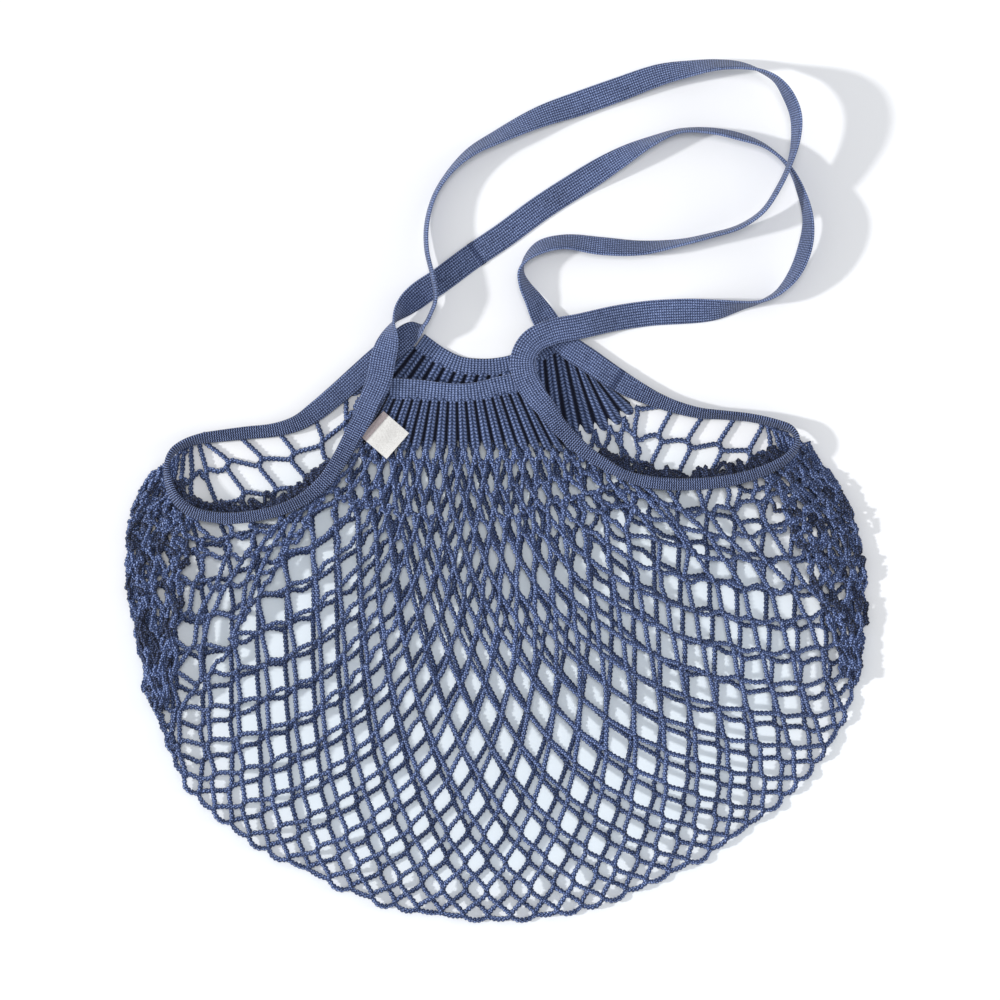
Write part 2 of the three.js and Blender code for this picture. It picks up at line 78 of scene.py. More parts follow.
# Tape tables: x, y, level, lift, roll and width. x is a share of the bag's width, y of its depth (armholes)
# or its reach (handles), level is 0 on the floor, 1 on the back layer and 2 on the front layer, lift is in
# tape widths above that, roll is in degrees from flat, and width is a share of the tape's width, left out
# where it is 1 and least where the tape is folded over the net
LEFT_ARMHOLE = [
    (-0.098, 0.145, 1, 0.04, -94), (-0.114, 0.133, 1, 0.04, -150), (-0.135, 0.11, 1, 0.04, -172),
    (-0.16, 0.082, 1, 0.03, -183, 0.95), (-0.188, 0.048, 1, 0.02, -188, 0.9),
    (-0.215, 0.015, 1, 0, -192, 0.85), (-0.241, -0.015, 1, 0, -193, 0.8),
    (-0.268, -0.04, 1, 0, -192, 0.65), (-0.299, -0.053, 1, 0, -192, 0.55),
    (-0.339, -0.059, 1, 0, -194, 0.52), (-0.375, -0.065, 1, 0, -205, 0.5),
    (-0.4, -0.07, 1.06, 0, -228, 0.5), (-0.421, -0.08, 1.19, 0, -240, 0.5),
    (-0.436, -0.095, 1.34, 0, -252, 0.5), (-0.444, -0.12, 1.47, 0, -270, 0.5),
    (-0.441, -0.154, 1.71, 0, -298, 0.5), (-0.429, -0.187, 1.94, 0, -314, 0.5),
    (-0.405, -0.211, 2, 0, -320, 0.5), (-0.366, -0.221, 2, 0, -324, 0.5),
    (-0.326, -0.217, 2, 0, -324, 0.5), (-0.288, -0.204, 2, 0, -326, 0.5),
    (-0.258, -0.183, 2, 0, -334, 0.52), (-0.231, -0.15, 2, 0, -345, 0.58),
    (-0.211, -0.11, 2, 0, -355, 0.64), (-0.195, -0.069, 2, 0, -365, 0.7),
    (-0.181, -0.032, 2, 0, -372, 0.8), (-0.171, 0, 2, 0, -375, 0.9),
]
RIGHT_ARMHOLE = [
    (0.051, 0.015, 2, 0, 6, 0.95), (0.067, -0.013, 2, 0, 6, 0.78), (0.084, -0.046, 2, 0, 6, 0.68),
    (0.103, -0.074, 2, 0, 8, 0.6), (0.122, -0.097, 2, 0, 14, 0.55), (0.145, -0.118, 2, 0, 28, 0.5),
    (0.169, -0.137, 2, 0, 48, 0.5), (0.197, -0.15, 2, 0, 30, 0.5), (0.227, -0.156, 2, 0, 18, 0.5),
    (0.274, -0.156, 2, 0, 25, 0.5), (0.323, -0.147, 2, 0, 34, 0.5), (0.359, -0.131, 2.02, 0, 44, 0.5),
    (0.386, -0.112, 1.93, 0, 54, 0.5), (0.402, -0.089, 1.62, 0, 70, 0.5),
    (0.405, -0.069, 1.4, 0, 90, 0.5), (0.396, -0.051, 1.24, 0, 108, 0.5),
    (0.374, -0.04, 1.11, 0, 118, 0.5), (0.342, -0.03, 1.03, 0, 118, 0.5),
    (0.307, -0.025, 1, 0, 124, 0.5), (0.274, -0.021, 1, 0, 138, 0.5), (0.245, -0.011, 1, 0, 158, 0.52),
    (0.219, 0.002, 1, 0, 170, 0.6), (0.193, 0.019, 1, 0, 174, 0.75), (0.166, 0.04, 1, 0, 176, 0.88),
    (0.126, 0.078, 1, 0.02, 180, 0.95), (0.086, 0.118, 1, 0.04, 180, 0.95),
]
FRONT_HANDLE = [
    (-0.171, 0, 2, 0, -15, 0.9), (-0.158, 0.064, 2, 0.01, -8), (-0.152, 0.127, 2, 0.01, -5),
    (-0.145, 0.179, 1.85, 0, -35), (-0.138, 0.231, 1.29, 0, -90), (-0.123, 0.275, 0.4, 0.03, -140),
    (-0.102, 0.315, 0, 0.01, -172), (-0.076, 0.352, 0, 0, -180), (-0.036, 0.416, 0, 0, -180),
    (0.011, 0.485, 0, 0, -180), (0.059, 0.561, 0, 0, -180), (0.113, 0.636, 0, 0, -185),
    (0.166, 0.706, 0, 0, -215), (0.207, 0.752, 0, 0, -245), (0.247, 0.783, 0, 0, -260),
    (0.288, 0.783, 0, 0, -256), (0.328, 0.765, 0, 0, -252), (0.363, 0.735, 0, 0, -262),
    (0.393, 0.678, 0, 0, -270), (0.409, 0.608, 0, 0.21, -282), (0.419, 0.519, 0, 0.43, -290),
    (0.415, 0.436, 0, 0.43, -300), (0.401, 0.36, 0, 0.25, -295), (0.379, 0.304, 0, 0.06, -280),
    (0.355, 0.277, 0, 0, -270), (0.326, 0.264, 0, 0, -250), (0.291, 0.252, 0, 0, -215),
    (0.25, 0.248, 0, 0, -188), (0.207, 0.242, 0, 0, -180), (0.16, 0.226, 0.85, 0, -180),
    (0.113, 0.202, 1.5, 0, -180), (0.075, 0.184, 1.78, 0, -180), (0.048, 0.154, 1.94, 0, -178),
    (0.036, 0.107, 2, 0, -176), (0.038, 0.053, 2, 0.01, -174), (0.051, 0, 2, 0, -174, 0.95),
]
BACK_HANDLE = [
    (0.086, 0, 1, 0.04, 0, 0.95), (0.067, 0.054, 0.85, 0.02, 8), (0.051, 0.112, 0.2, 0.01, 42),
    (0.038, 0.158, 0, 0, 64), (0.033, 0.195, 0, 0, 80), (0.04, 0.231, 0, 0, 100),
    (0.06, 0.265, 0, 0, 122), (0.092, 0.279, 0, 0, 126), (0.14, 0.266, 0, 0, 136),
    (0.193, 0.259, 0, 0, 126), (0.247, 0.273, 0, 0, 106), (0.288, 0.292, 0, 0.11, 100),
    (0.328, 0.317, 0, 0.29, 98), (0.358, 0.36, 0, 0.57, 96), (0.378, 0.423, 0, 0.86, 96),
    (0.393, 0.492, 0, 1.06, 96), (0.401, 0.562, 0, 1.21, 106), (0.401, 0.631, 0, 1.29, 112),
    (0.39, 0.691, 0, 1.29, 110), (0.375, 0.734, 0, 1.14, 98), (0.355, 0.759, 0, 0.93, 88),
    (0.328, 0.775, 0, 0.68, 72), (0.295, 0.777, 0, 0.43, 62), (0.261, 0.767, 0, 0.21, 48),
    (0.22, 0.749, 0, 0.07, 28), (0.166, 0.707, 0, 0, 14), (0.113, 0.665, 0, 0, 12),
    (0.059, 0.623, 0, 0, 30), (0.005, 0.566, 0, 0, 54), (-0.036, 0.515, 0, 0, 68),
    (-0.065, 0.452, 0, 0, 80), (-0.084, 0.384, 0, 0.04, 84), (-0.094, 0.301, 0, 0.11, 84),
    (-0.094, 0.227, 0, 0.19, 85), (-0.086, 0.147, 0, 0.23, 86), (-0.082, 0.081, 0, 0.24, 86),
    (-0.088, 0.039, 0.9, 0.06, 86), (-0.098, 0, 1, 0.04, 86),
]
# Bands at the mouth: x and y of the middle line as shares of the bag's width and depth, and a share of
# the band's width
FRONT_BAND = [
    (-0.144, 0.026, 1), (-0.103, 0.023, 0.97), (-0.076, 0.019, 0.9), (-0.049, 0.017, 0.88),
    (-0.022, 0.021, 0.88), (0.005, 0.03, 0.93), (0.029, 0.037, 0.95),
]
BACK_BAND = [
    (-0.104, 0.116, 0.85), (-0.076, 0.088, 0.85), (-0.049, 0.071, 0.82), (-0.022, 0.067, 0.8),
    (0.005, 0.069, 0.82), (0.032, 0.078, 0.85), (0.059, 0.095, 0.85), (0.078, 0.112, 0.85),
]
# Lower edges of the ribbed panels (y as a share of the panel's depth) and their upper corners
FRONT_PANEL_EDGE = [
    (-0.198, -1), (-0.12, -1), (-0.04, -1), (0.04, -1), (0.11, -1.06),
]
FRONT_PANEL_CORNERS = [
    (-0.155, -0.002), (0.058, 0),
]
BACK_PANEL_EDGE = [
    (-0.202, 0.3), (-0.15, -0.25), (-0.08, -0.5), (0.02, -0.58), (0.1, -0.66),
    (0.155, -0.5), (0.188, -0.1),
]
BACK_PANEL_CORNERS = [
    (-0.135, 0.09), (0.14, 0.045),
]
# Outline of the folded net, as shares of width and depth
FOLD_OUTLINE = [
    (-0.456, -0.129), (-0.489, -0.187), (-0.501, -0.3), (-0.494, -0.405), (-0.479, -0.51),
    (-0.456, -0.63), (-0.421, -0.738), (-0.346, -0.835), (-0.251, -0.91), (-0.14, -0.972),
    (-0.026, -0.997), (0.08, -0.988), (0.18, -0.945), (0.295, -0.866), (0.39, -0.763),
    (0.466, -0.632), (0.498, -0.453), (0.497, -0.31), (0.474, -0.187), (0.416, -0.08),
]

LABEL_CENTRE = (-0.15, -0.063)
LABEL_TURN = math.radians(49)
LABEL_THICKNESS = 0.5 * MM
LABEL_CURL = 0.35 * MM
LABEL_LIFT = 0.8 * MM
LABEL_WAVE = 0.18 * MM
LABEL_FOLD = 0.2 * LABEL_SIDE

# Knitting of the tape and bands: one column and one row of stitches
TAPE_WALE = 1.5 * MM
TAPE_ROW = 1.3 * MM
TAPE_RELIEF = 0.3 * MM
BAND_WALE = 1.8 * MM
BAND_ROW_SHARE = 0.25
RIB_WALE = 2 * MM
RIB_ROW = 1.9 * MM

# How far a panel's ribs run past its lower edge, how far the valleys stop short of it, how much the ribs
# wave up and down, and how far the panel lies under its band
RIB_PAST = 2 * MM
VALLEY_SHORT = 4 * MM
RIB_WAVE = 0.3 * MM
PANEL_UNDER_BAND = 1.5 * MM

# Squareness of the edges of the tape and bands, points across each, and the step for their directions
EDGE_SQUARENESS = 8
TAPE_POINTS = 22
BAND_POINTS = 24
SEAM_POINTS = 40
CURVE_STEP = 1e-3

# The net: half columns to each side of the panel, half rows to the fold, and the yarn of its cords
PANEL_COLUMNS = 18
ROWS_TO_FOLD = 16.3
LAST_ROW = int(ROWS_TO_FOLD)
WIDEST = PANEL_COLUMNS + LAST_ROW + 1
MESH_SIDE = 18.4 * MM
PLY_RADIUS = 1.06 * MM
PLY_OFFSET = 0.66 * MM
PLY_TURN = 5 * MM
CORD_SIDES = 5
CORD_RADIUS = PLY_RADIUS + PLY_OFFSET
KNOT_REACH = 2.8 * MM
FOLD_SPREAD = 0.2
FOLD_LEVEL = BACK_SEAT + 0.5 * MM
RUFFLE = 0.45 * MM

# Cords shorter than this are left out, and the length that a slack one bows with, between its knots
SHORTEST_CORD = 0.2 * MESH_SIDE
CORD_IN_MESH = 0.955 * MESH_SIDE
CORD_THAT_BOWS = 12 * MM
BOW_SHARE = 0.38

# The front net gathered at each end of the mouth: its half rows and half columns, where its top lies
# along the binding, and its width by the share of the fold's length that it has come down
SIDE_ROWS = 11
SIDE_COLUMNS = 11
SIDE_LIFT = 1.8 * MM
SIDE_SCATTER = 0.8 * MM
SIDE_TOPS = {
    "left": [(-0.456, -0.129), (-0.441, -0.154), (-0.429, -0.187), (-0.405, -0.211)],
    "right": [(0.416, -0.08), (0.402, -0.089), (0.386, -0.112), (0.359, -0.131)],
}
SIDE_WIDTHS = [
    (0, 28 * MM), (0.03, 33 * MM), (0.07, 33 * MM), (0.11, 27 * MM), (0.15, 17 * MM),
    (0.18, 7 * MM),
]

# The selvedge's loops in the armholes: the pitch of each turn, how much lower each lies than the last,
# how far its loops lean, and how far their ends lie behind the edge
SELVEDGE_PITCHES = (4 * MM, 6 * MM, 8 * MM, 11 * MM)
SELVEDGE_DROP = 1.3 * MM
SELVEDGE_SWAY = 1.8 * MM
SELVEDGE_BEHIND = 2 * MM

# Where the tape is joined: a length of it and a place on that length, counted in its stations
SEAMS = [("front_handle", 8.2), ("right_armhole_binding", 23.1)]
SEAM_LENGTH = 3.4 * MM
SEAM_PITCH = 1.4 * MM
SEAM_RISE = 0.5 * MM
SEAM_SUNK = 0.15 * MM
SEAM_OVERHANG = 0.1 * MM

# Share of an armhole edge that each half row of the net has reached, from the panel to the far end
EDGE_SPREAD = {
    "front": [(0, 0.0), (5, 0.26), (9, 0.74), (17, 1.0)],
    "back": [(0, 0.0), (4, 0.72), (8, 0.88), (17, 1.0)],
}

# How far each layer's upper rows hang down further than an even spread, as a share of the net's depth.
# The back layer's knots then fill the front layer's meshes below the panel
ROW_SHIFT = {"front": 0.006, "back": 0.038}

# Yarns: their colours between, beside and on the stitches, the first a painted shade and the last a painted
# highlight, then the wale, row, slant and relief of those
YARNS = {
    "knitted_tape": ((5, 12, 38), (80, 94, 131), (146, 162, 204), TAPE_WALE, TAPE_ROW, 0.8, 0.3 * MM),
    "ribbed_band": ((7, 14, 40), (80, 95, 132), (144, 160, 202), BAND_WALE, TAPE_ROW, 0.8, 0.3 * MM),
    "ribbed_panel": ((6, 13, 36), (68, 84, 122), (134, 149, 190), RIB_WALE, RIB_ROW, 1.0, 0.4 * MM),
    "net_cord": ((4, 12, 36), (63, 82, 129), (160, 178, 222), 2.1 * MM, 1.3 * MM, 1.2, 0.4 * MM),
    # Next, the net cord's colours darkened: painted shade for cords that lie in the binding's shade and
    # between the raised side strands
    "net_cord_painted_shade": ((0, 3, 14), (30, 40, 70), (96, 110, 148), 2.1 * MM, 1.3 * MM, 1.2, 0.4 * MM),
    "seam_thread": ((4, 10, 30), (50, 62, 96), (104, 120, 160), SEAM_PITCH, 1.1 * MM, 0.6, 0.3 * MM),
    "label_cloth": ((190, 186, 182), (228, 226, 222), (240, 239, 236), 0.5 * MM, 0.5 * MM, 0.0, 0.06 * MM),
    "label_fold": ((110, 100, 102), (152, 141, 142), (176, 165, 164), 0.5 * MM, 0.5 * MM, 0.0, 0.06 * MM),
}

# Yarns whose stitches flatten where the piece says so, and the pitch of the ribs that a yarn lies in; the
# valleys between those ribs get painted shade
FLATTENED_YARNS = ("knitted_tape", "ribbed_band")
RIB_PITCH = {"ribbed_panel": 2 * RIB_WALE}
FLOOR_WHITE = (0.9, 0.9, 0.91, 1)
# Painted bounce light: the faint blue that the floor takes under the net
FLOOR_PAINTED_BOUNCE = (0.86, 0.93, 0.98, 1)
FLOOR_REACH = 6

# Camera, and far soft lights by azimuth, elevation, strength and softness
VIEW_CENTRE = (1.86 * MM, -4.27 * MM)
VIEW_FIELD = 0.55
LENS = 200
SENSOR = 36
LIGHTS = {
    "window_left": (183, 31, 2.1, 4),
    "overhead_softbox": (90, 84, 0.9, 16),
    "bounce_right": (5, 20, 0.4, 20),
}

randoms = np.random.default_rng(7)

# Where the tables' zero lies in the frame, read off the label
label_low, label_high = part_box("label")
SHIFT = np.array([
    (label_low.x + label_high.x) / 2 - LABEL_CENTRE[0] * BAG_WIDTH,
    (label_low.y + label_high.y) / 2 - LABEL_CENTRE[1] * BAG_DEPTH,
    0.0,
])


def in_bag(pairs):
    return np.array([(x * BAG_WIDTH, y * BAG_DEPTH) for x, y in pairs])


def in_panel(pairs):
    return np.array([(x * BAG_WIDTH, y * PANEL_DEPTH) for x, y in pairs])


def unit(vectors):
    return vectors / np.maximum(np.linalg.norm(vectors, axis=-1, keepdims=True), 1e-12)


def left_of(headings):
    """Flat directions a quarter turn to the left of the given ones"""
    return np.column_stack([-headings[:, 1], headings[:, 0]])


def run_length(paths):
    """Length reached at each point of a path, or of each of many paths"""
    steps = np.linalg.norm(np.diff(paths, axis=-2), axis=-1)
    return np.concatenate([np.zeros((*steps.shape[:-1], 1)), np.cumsum(steps, axis=-1)], axis=-1)


def curve_between(p1, p2, leave, arrive, t):
    """Points of a cubic curve from p1 to p2, with its directions at both ends"""
    bend = 3 * (p2 - p1) - 2 * leave - arrive
    return p1 + leave * t + bend * t**2 + (2 * (p1 - p2) + leave + arrive) * t**3


def spline(points, places, closed=False, uniform=False):
    """Points of a smooth curve through the given points, at places counted in points"""
    points = np.asarray(points, float)
    count = len(points)
    start = np.floor(places).astype(int)
    if closed:
        p0, p1, p2, p3 = (points[(start + k) % count] for k in (-1, 0, 1, 2))
    else:
        start = np.clip(start, 0, count - 2)
        ends = np.vstack([2 * points[0] - points[1], points, 2 * points[-1] - points[-2]])
        p0, p1, p2, p3 = (ends[start + k] for k in range(4))
    t = (places - start)[:, None]
    if uniform:
        leave, arrive = (p2 - p0) / 2, (p3 - p1) / 2
    else:
        d0, d1, d2 = (
            np.maximum(np.sum((b - a) ** 2, axis=1, keepdims=True), 1e-16) ** 0.25
            for a, b in ((p0, p1), (p1, p2), (p2, p3))
        )
        leave = ((p1 - p0) / d0 - (p2 - p0) / (d0 + d1) + (p2 - p1) / d1) * d1
        arrive = ((p2 - p1) / d1 - (p3 - p1) / (d1 + d2) + (p3 - p2) / d2) * d1
    return curve_between(p1, p2, leave, arrive, t)


def by_length(points):
    """A function that gives the point at each share of a flat curve's length"""
    dense = np.linspace(0, len(points) - 1, 30 * len(points))
    path = spline(points, dense)
    reached = run_length(path)
    reached /= reached[-1]
    return lambda share: np.stack([np.interp(share, reached, path[:, k]) for k in range(2)], axis=-1)


def new_object(name, data):
    made = bpy.data.objects.new(name, data)
    bpy.context.scene.collection.objects.link(made)
    return made


def add_piece(name, points, faces, places, material, replaced, row_share=None):
    """A smooth mesh piece of the bag, and where each corner of its faces lies on the yarn, in metres"""
    mesh = bpy.data.meshes.new(name)
    mesh.from_pydata((np.asarray(points) + SHIFT).tolist(), [], faces)
    mesh.uv_layers.new(name="Yarn").uv.foreach_set("vector", np.asarray(places, np.float32).ravel())
    if row_share is not None:
        shares = mesh.attributes.new("row_share", "FLOAT", "POINT")
        shares.data.foreach_set("value", row_share.astype(np.float32))
    mesh.shade_smooth()
    mesh.materials.append(material)
    made = new_object(name, mesh)
    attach(made, "root")
    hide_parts(replaced)
    return made


def ring_faces(rings, around):
    """Four-sided faces between rings of points, one after another"""
    k = np.arange(around)
    after = (k + 1) % around
    one = np.stack([k, after, after + around, k + around], axis=1)
    return (one[None] + (np.arange(rings - 1) * around)[:, None, None]).reshape(-1, 4)


def sheet_faces(rows, columns):
    """Faces of a closed sheet: a grid of points above, the same grid below, and a rim between them"""
    count = rows * columns
    index = np.arange(count).reshape(rows, columns)
    upper = np.stack([index[:-1, :-1], index[1:, :-1], index[1:, 1:], index[:-1, 1:]], -1).reshape(-1, 4)
    rim = np.concatenate([index[0, :], index[1:, -1], index[-1, -2::-1], index[-2:0:-1, 0]])
    after = np.roll(rim, -1)
    sides = np.stack([rim, after, after + count, rim + count], axis=1)
    return np.concatenate([upper, upper[:, ::-1] + count, sides])


def add_swept(name, rings, places, material, replaced, row_share):
    """A closed piece swept through rings of points, each with its place on the knitting"""
    count, around = rings.shape[:2]
    sides = ring_faces(count, around)
    points = rings.reshape(-1, 3)
    flat = places.reshape(-1, 2)
    last = (count - 1) * around
    caps = [list(range(around))[::-1], list(range(last, last + around))]
    corners = np.concatenate([flat[sides].reshape(-1, 2), flat[caps[0]], flat[caps[1]]])
    shares = np.repeat(row_share, around)
    add_piece(name, points, sides.tolist() + caps, corners, material, replaced, shares)


def section(points_across):
    """A flat strip's section: shares of half the width and half the thickness, once round"""
    even = np.linspace(-1, 1, points_across)
    across = 0.7 * even + 0.3 * np.sin(even * math.pi / 2)
    deep = np.sqrt(np.maximum(1 - np.abs(across) ** EDGE_SQUARENESS, 0.0))
    return np.concatenate([across, across[-2:0:-1]]), np.concatenate([-deep, deep[-2:0:-1]])


def knit_relief(across, along, wale, row, row_share):
    """Height of a stitch, 0 to 1, at a place on the knitting"""
    column = np.abs(np.sin(math.pi * across / wale)) ** 0.7
    stitch = 0.5 + 0.5 * np.cos(2 * math.pi * along / row)
    return (row_share + (1 - row_share) * column) * (1 - row_share + row_share * stitch)


# The tape


def rest_height(level, lift):
    return np.interp(level, [0, 1, 2], [0, BACK_SEAT, FRONT_SEAT]) + lift * TAPE_WIDTH


def stations(table, reach=BAG_DEPTH, start=0, end=0):
    """A tape table in metres. A handle's y is counted from a line between the armholes that it joins"""
    rows = np.array([(*row, 1)[:6] for row in table], float)
    along = np.linspace(0, 1, len(rows))
    rows[:, 0] *= BAG_WIDTH
    rows[:, 1] = (start + (end - start) * along) * BAG_DEPTH + rows[:, 1] * reach
    return rows


TAPE_LENGTHS = [
    ("left_armhole_binding", stations(LEFT_ARMHOLE)),
    ("front_handle", stations(FRONT_HANDLE, HANDLE_REACH, LEFT_ARMHOLE[-1][1], RIGHT_ARMHOLE[0][1])),
    ("right_armhole_binding", stations(RIGHT_ARMHOLE)),
    ("back_handle", stations(BACK_HANDLE, HANDLE_REACH, RIGHT_ARMHOLE[-1][1], LEFT_ARMHOLE[0][1])),
]
tape_loop = np.concatenate([
    np.column_stack([rows[:-1, 0], rows[:-1, 1], rest_height(rows[:-1, 2], rows[:-1, 3])])
    for _, rows in TAPE_LENGTHS
])


def on_tape(places):
    """Points of the tape's middle line, at places counted in stations"""
    return spline(tape_loop, places, closed=True)


def even_places(first, last, pitch):
    """Places along the tape an even pitch apart, and the length reached there"""
    dense = np.linspace(first, last, 40 * (last - first) + 1)
    reached = run_length(on_tape(dense))
    lengths = np.linspace(0, reached[-1], int(round(reached[-1] / pitch)) + 1)
    return np.interp(lengths, reached, dense), lengths


def tape_frames(rows, first, places):
    """Centre, across and face directions, half width and half thickness of the tape at given places"""
    centre = on_tape(places)
    heading = on_tape(places + CURVE_STEP) - on_tape(places - CURVE_STEP)
    heading[:, 2] = 0
    heading = unit(heading)
    turns = spline(rows[:, 4:6], places - first, uniform=True)
    lean = np.radians(turns[:, 0])[:, None]
    half = turns[:, 1] * TAPE_WIDTH / 2
    half_thick = TAPE_THICKNESS * (1 + (1 - turns[:, 1]) * FOLDED_GAIN) / 2
    side = np.column_stack([left_of(heading), np.zeros(len(places))])
    upright = np.array([0, 0, 1.0])
    across = np.cos(lean) * side + np.sin(lean) * upright
    face = -np.sin(lean) * side + np.cos(lean) * upright
    rise = half * np.abs(across[:, 2]) + half_thick * np.abs(face[:, 2])
    centre[:, 2] = np.maximum(centre[:, 2], 0) + rise
    return centre, across, face, half, half_thick


def add_tape(name, rows, first, material):
    places, lengths = even_places(first, first + len(rows) - 1, TAPE_ROW / 2)
    centre, across, face, half, half_thick = tape_frames(rows, first, places)
    out, deep = section(TAPE_POINTS)
    from_middle = out[None] * half[:, None]
    row_share = np.interp(half / (TAPE_WIDTH / 2), [0.6, 0.9], [0.6, 0.3])
    relief = knit_relief(from_middle, lengths[:, None], TAPE_WALE, TAPE_ROW, row_share[:, None])
    lost = TAPE_RELIEF * (1 - relief)
    thick = deep[None] * np.maximum(half_thick[:, None] - lost, 0.2 * MM)
    rings = centre[:, None] + from_middle[..., None] * across[:, None] + thick[..., None] * face[:, None]
    placed = np.dstack(np.broadcast_arrays(from_middle, lengths[:, None]))
    add_swept(f"{name}_knit", rings, placed, material, name, row_share)


def add_seam(name, rows, first, station, material):
    """A sewn join across the tape, raised a little, with the stitches of its thread"""
    middle = first + station
    ends = on_tape(np.array([middle - 0.5, middle + 0.5]))
    reach = SEAM_LENGTH / 2 / np.linalg.norm(ends[1] - ends[0])
    along = np.linspace(-1, 1, 11)
    centre, across, face, half, half_thick = tape_frames(rows, first, middle + reach * along)
    out, deep = section(SEAM_POINTS)
    from_middle = out[None] * (half + SEAM_OVERHANG)[:, None]
    stitch = 0.5 + 0.5 * np.cos(2 * math.pi * from_middle / SEAM_PITCH)
    raised = SEAM_RISE * (1 - along**2)[:, None] * (0.35 + 0.65 * stitch) - SEAM_SUNK
    thick = deep[None] * (half_thick[:, None] + raised)
    rings = centre[:, None] + from_middle[..., None] * across[:, None] + thick[..., None] * face[:, None]
    rings[..., 2] = np.maximum(rings[..., 2], FLOOR_CLEARANCE)
    lengths = (along * SEAM_LENGTH / 2)[:, None]
    placed = np.dstack(np.broadcast_arrays(from_middle, lengths))
    add_swept(f"{name}_seam", rings, placed, material, name, np.full(len(rings), 0.4))


# Bands and ribbed panels at the mouth


def band_line(table):
    """A function that gives a band's middle line, side direction and half width at shares of its length"""
    points = np.array([(x * BAG_WIDTH, y * BAG_DEPTH, width * BAND_WIDTH / 2) for x, y, width in table])

    def at(share):
        places = np.asarray(share) * (len(points) - 1)
        line = spline(points, places)
        heading = spline(points, places + CURVE_STEP) - spline(points, places - CURVE_STEP)
        return line[:, :2], left_of(unit(heading[:, :2])), line[:, 2]

    return at


def add_band(name, table, underside, material):
    """A ribbed band: its ribs run across it, so its columns and rows change places"""
    line = band_line(table)
    share = np.linspace(0, 1, 260)
    middle, side, half = line(share)
    reached = run_length(middle)
    out, deep = section(BAND_POINTS)
    from_middle = out[None] * half[:, None]
    relief = knit_relief(reached[:, None], from_middle, BAND_WALE, TAPE_ROW, BAND_ROW_SHARE)
    thick = deep[None] * (BAND_THICKNESS / 2 - 1.5 * TAPE_RELIEF * (1 - relief))
    flat = middle[:, None] + from_middle[..., None] * side[:, None]
    height = underside + BAND_THICKNESS / 2 + thick
    rings = np.dstack([flat, height])
    placed = np.dstack(np.broadcast_arrays(reached[:, None], from_middle))
    add_swept(f"{name}_knit", rings, placed, material, name, np.full(len(rings), BAND_ROW_SHARE))


def panel_edges(band_table, corners, lower_edge):
    """Upper and lower edge of a ribbed panel, as functions of the share of their length"""
    line = band_line(band_table)
    middle, side, half = line(np.linspace(0, 1, 15))
    under_band = middle - side * (half - PANEL_UNDER_BAND)[:, None]
    low, high = in_bag(corners)
    return by_length(np.vstack([low, under_band, high])), by_length(in_panel(lower_edge))


def add_gather(name, edges, ribs, underside, material):
    """A panel of knitted ribs, two columns of stitches each, with deep valleys between them"""
    upper, lower = edges
    per_rib, rows = 10, 46
    share = np.linspace(0, 1, ribs * per_rib + 1)
    top, bottom = upper(share), lower(share)
    crest = np.abs(np.sin(math.pi * share * ribs))
    rib = np.clip((crest - 0.28) / 0.72, 0, 1) ** 0.5
    groove = 0.8 + 0.2 * np.abs(np.sin(2 * math.pi * share * ribs)) ** 0.7
    down = np.linspace(0, 1, rows)
    length = np.linalg.norm(bottom - top, axis=1)
    reach = 1 + ((RIB_PAST + VALLEY_SHORT) * rib - VALLEY_SHORT) / length
    flat = top[None] + (bottom - top)[None] * (down[:, None] * reach[None])[..., None]
    along = down[:, None] * (length * reach)[None]
    from_crest = np.abs(share * ribs * 2 % 1 - 0.5)
    stitch = 0.5 + 0.5 * np.cos(2 * math.pi * (along / RIB_ROW + from_crest[None]))
    relief = (rib * groove)[None] * (0.88 + 0.12 * stitch)
    end = np.clip((1 - down) / 0.1, 0, 1) ** 0.5
    wave = RIB_WAVE * (1 + np.sin(down[:, None] * 5 + share[None] * 37))
    height = underside + (0.55 + 0.45 * end[:, None]) * (NET_THICKNESS * (0.05 + 1.05 * relief) + wave)
    faces = sheet_faces(rows, len(share))
    placed = np.dstack(np.broadcast_arrays(share * ribs * 2 * RIB_WALE, along))
    placed = np.tile(placed.reshape(-1, 2), (2, 1))
    levels = (height, np.full_like(height, underside))
    points = np.concatenate([np.dstack([flat, level]).reshape(-1, 3) for level in levels])
    add_piece(f"{name}_ribs", points, faces.tolist(), placed[faces], material, name)


# The net


def armhole_edge(side, layer):
    """The net's edge along an armhole, from the panel to the far end, by half rows of the net"""
    table, rows, panel, end = {
        ("left", "front"): (LEFT_ARMHOLE, slice(22, 15, -1), FRONT_PANEL_EDGE[0], FOLD_OUTLINE[0]),
        ("right", "front"): (RIGHT_ARMHOLE, slice(5, 13), FRONT_PANEL_EDGE[-1], FOLD_OUTLINE[-1]),
        ("left", "back"): (LEFT_ARMHOLE, slice(6, 12), BACK_PANEL_EDGE[0], FOLD_OUTLINE[0]),
        ("right", "back"): (RIGHT_ARMHOLE, slice(20, 16, -1), BACK_PANEL_EDGE[-1], FOLD_OUTLINE[-1]),
    }[side, layer]
    middle = in_bag([row[:2] for row in table[rows]])
    edge = by_length(np.vstack([in_panel([panel]), middle, in_bag([end])]))
    steps, shares = zip(*EDGE_SPREAD[layer])
    return lambda row: edge(np.interp(row, steps, shares))


def fold_share(place):
    """Share of the fold's length at a place from -1 to 1: its meshes are wide midway, narrow at the ends"""
    return 0.5 + place * (1 + FOLD_SPREAD * (1 - place**2)) / 2


